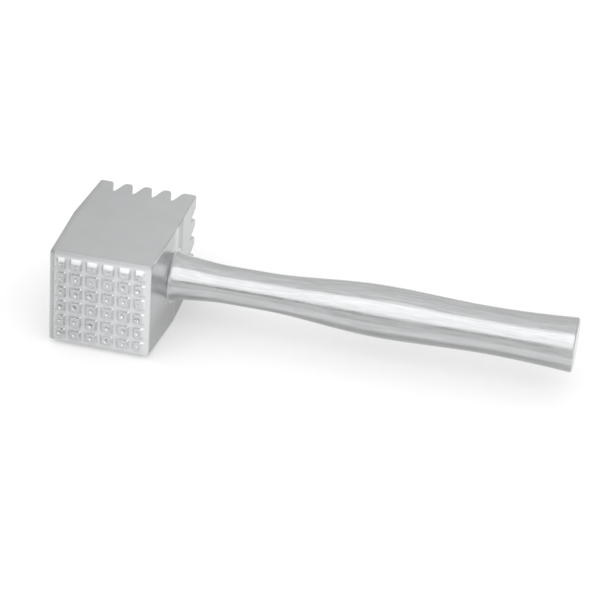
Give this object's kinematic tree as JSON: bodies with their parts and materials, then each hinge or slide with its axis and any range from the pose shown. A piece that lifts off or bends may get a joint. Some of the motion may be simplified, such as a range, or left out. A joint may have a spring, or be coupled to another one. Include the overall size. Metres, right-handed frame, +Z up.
{
  "type": "meat mallet",
  "caption": "All-metal meat mallet: square cast aluminium head with a coarse tooth grid on one end and a fine one on the other, and a waisted round handle on its side.",
  "frame": {"origin": "middle of the flat parting band under the head, straight below the handle's axis", "axes": "+X along the handle towards the butt, +Y along the stroke from the fine to the coarse side, +Z up"},
  "size_m": [0.3116, 0.1003, 0.0651],
  "materials": {
    "cast_aluminium": "satin, as tumbled after casting",
    "polished_aluminium": "polished along its length",
    "steel": "plain"
  },
  "bodies": {
    "root": {"head": "cast_aluminium", "handle": "polished_aluminium", "handle_stud": "steel", "lock_washer": "steel"}
  },
  "joints": []
}
